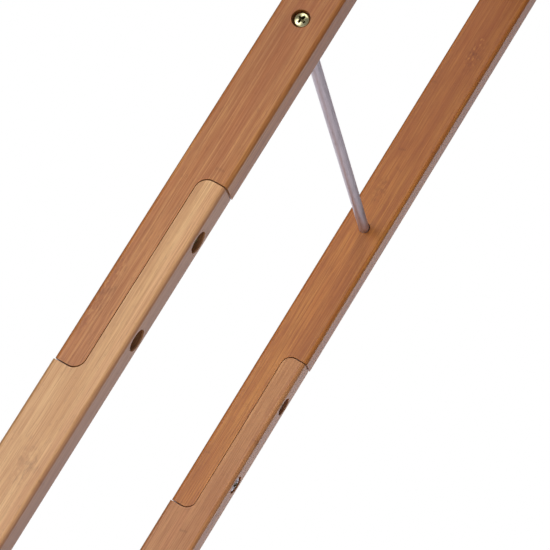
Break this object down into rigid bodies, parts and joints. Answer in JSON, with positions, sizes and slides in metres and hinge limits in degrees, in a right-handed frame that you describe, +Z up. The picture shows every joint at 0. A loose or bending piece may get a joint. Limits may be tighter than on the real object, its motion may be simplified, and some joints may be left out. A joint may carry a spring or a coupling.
{
  "type": "ladder shelf",
  "caption": "Wall-leaning bamboo ladder shelf: two half-lapped rails, steel rods, slatted tray shelves that deepen towards the floor.",
  "frame": {"origin": "on the floor, at the centre of the outer box", "axes": "+Z up, +Y towards the wall the shelf leans on, +X to the right for a person facing the shelf"},
  "size_m": [0.45, 0.405, 1.7643],
  "materials": {
    "bamboo_caramel": "satin lacquer over carbonised strip bamboo",
    "bamboo_honey": "satin lacquer over natural strip bamboo",
    "bamboo_slat": "satin lacquer over carbonised strip bamboo",
    "rod_steel": "satin drawn steel",
    "screw_zinc": "yellow zinc plate",
    "screw_bright": "bright zinc plate",
    "insert_brass": "turned brass",
    "bracket_steel": "zinc-plated sheet",
    "rubber": "matt"
  },
  "bodies": {
    "root": {"right_rail_lower": "bamboo_honey", "right_rail_upper": "bamboo_caramel", "left_rail_lower": "bamboo_caramel", "left_rail_upper": "bamboo_caramel", "bottom_rod": "rod_steel", "second_rod": "rod_steel", "towel_rod": "rod_steel", "top_rod": "rod_steel", "rod_screws_right": "screw_zinc", "rod_screws_left": "screw_zinc", "lap_screws_right": "screw_zinc", "lap_screws_left": "screw_bright", "lap_inserts": "insert_brass", "shelf_screws_right": "screw_zinc", "shelf_screws_left": "screw_zinc", "bottom_cheek_right": "bamboo_caramel", "bottom_cheek_left": "bamboo_caramel", "bottom_front_lip": "bamboo_caramel", "bottom_rear_lip": "bamboo_caramel", "bottom_ledge_right": "bamboo_honey", "bottom_ledge_left": "bamboo_honey", "bottom_slat_1": "bamboo_slat", "bottom_slat_2": "bamboo_slat", "bottom_slat_3": "bamboo_slat", "bottom_slat_4": "bamboo_slat", "bottom_slat_5": "bamboo_slat", "bottom_slat_6": "bamboo_slat", "bottom_slat_7": "bamboo_slat", "middle_cheek_right": "bamboo_caramel", "middle_cheek_left": "bamboo_caramel", "middle_front_lip": "bamboo_caramel", "middle_rear_lip": "bamboo_caramel", "middle_ledge_right": "bamboo_honey", "middle_ledge_left": "bamboo_honey", "middle_slat_1": "bamboo_slat", "middle_slat_2": "bamboo_slat", "middle_slat_3": "bamboo_slat", "middle_slat_4": "bamboo_slat", "middle_slat_5": "bamboo_slat", "top_cheek_right": "bamboo_caramel", "top_cheek_left": "bamboo_caramel", "top_front_lip": "bamboo_caramel", "top_rear_lip": "bamboo_caramel", "top_ledge_right": "bamboo_honey", "top_ledge_left": "bamboo_honey", "top_slat_1": "bamboo_slat", "top_slat_2": "bamboo_slat", "lip_screws": "screw_zinc", "ledge_screws": "screw_zinc", "slat_screws": "screw_zinc", "foot_pad_right": "rubber", "foot_pad_left": "rubber", "wall_pad_right": "rubber", "wall_pad_left": "rubber", "wall_bracket_right": "bracket_steel", "wall_bracket_left": "bracket_steel", "bracket_screws": "screw_zinc"}
  },
  "joints": []
}
